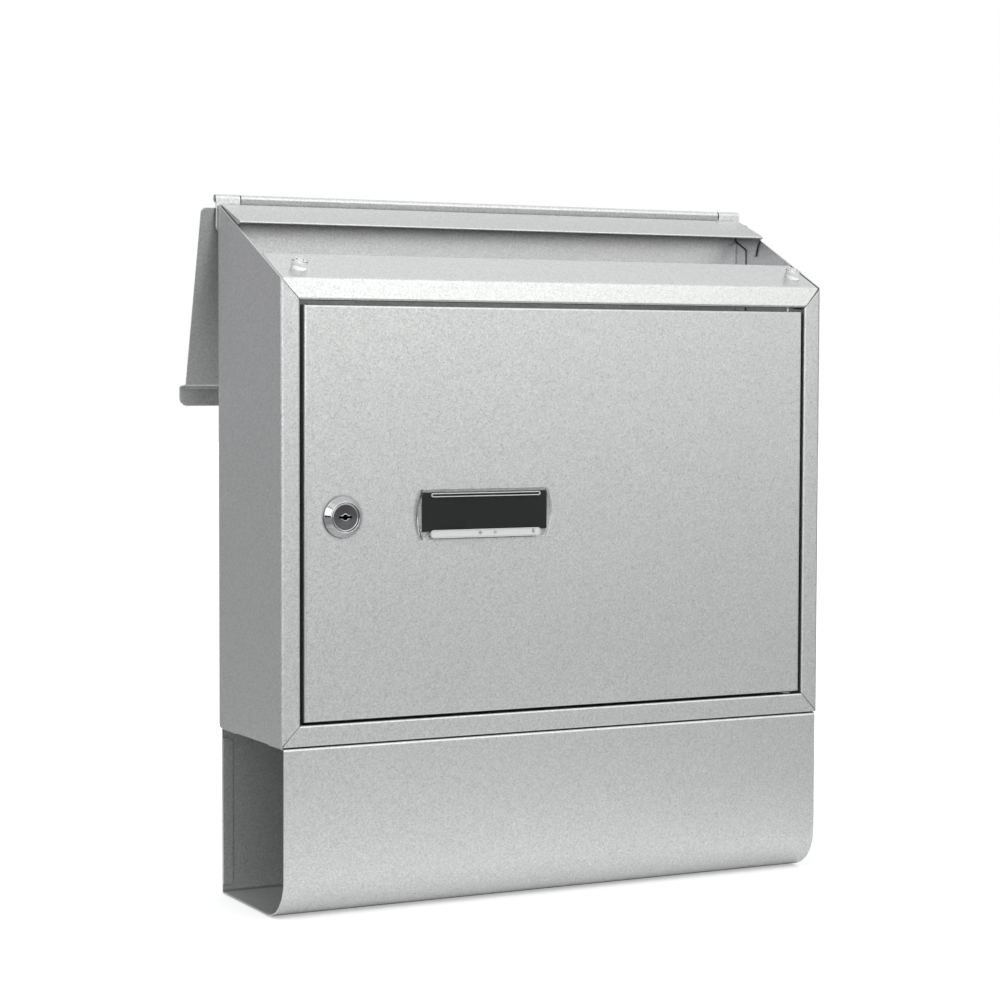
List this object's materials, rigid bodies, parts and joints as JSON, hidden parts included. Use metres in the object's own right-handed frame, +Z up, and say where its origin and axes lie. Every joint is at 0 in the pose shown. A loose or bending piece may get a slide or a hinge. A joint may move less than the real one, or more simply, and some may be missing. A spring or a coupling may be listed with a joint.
{
  "type": "wall mounted mailbox",
  "caption": "Sheet-steel wall mailbox with a sloping mail slot under a hinged rain lid, a locking front door and an open newspaper holder below.",
  "frame": {"origin": "on the back panel's outer face, on its centre line and level with the lock", "axes": "+X to the right seen from the front, +Y into the wall, +Z up; the door faces -Y"},
  "size_m": [0.3814, 0.1427, 0.4164],
  "materials": {
    "silver_paint": "silver metallic powder coat with a fine flake",
    "steel": "zinc-plated steel",
    "chrome": "bright chrome plate",
    "plug_metal": "turned and nickel-plated, dark in its grooves",
    "nylon": "grey nylon",
    "clear_plastic": "clear moulded plastic",
    "card": "charcoal card insert"
  },
  "bodies": {
    "box": {"side_panel_left": "silver_paint", "side_panel_right": "silver_paint", "back_panel": "silver_paint", "bottom_panel": "silver_paint", "front_top_cover": "silver_paint", "rear_top_cover": "silver_paint", "hinge_bracket_left": "silver_paint", "hinge_bracket_right": "silver_paint", "lid_hinge_pin": "steel", "lid_bumper_left": "clear_plastic", "lid_bumper_right": "clear_plastic", "door_pin_top": "steel", "door_pin_bottom": "steel", "door_washer": "nylon", "newspaper_holder": "silver_paint", "holder_rivet_front_left": "steel", "holder_rivet_front_right": "steel", "holder_rivet_back_left": "steel", "holder_rivet_back_right": "steel"},
    "lid": {"lid": "silver_paint"},
    "door": {"door": "silver_paint", "lock_housing": "chrome", "lock_nut": "steel", "name_plate_holder": "clear_plastic", "name_plate_card": "card"},
    "lock": {"lock_plug": "plug_metal", "lock_cam": "steel", "lock_cam_screw": "steel"}
  },
  "joints": [
    {"name": "lid_hinge", "type": "hinge", "parent": "box", "child": "lid", "pos_m": [0, 0.0027, 0.1843], "axis": [1, 0, 0], "range_deg": [0, 279.55]},
    {"name": "door_hinge", "type": "hinge", "parent": "box", "child": "door", "pos_m": [0.1603, -0.0906, 0], "axis": [0, 0, 1], "range_deg": [0, 105]},
    {"name": "lock_turn", "type": "hinge", "parent": "door", "child": "lock", "pos_m": [-0.1435, -0.0966, 0], "axis": [0, 1, 0], "range_deg": [0, 90]}
  ]
}
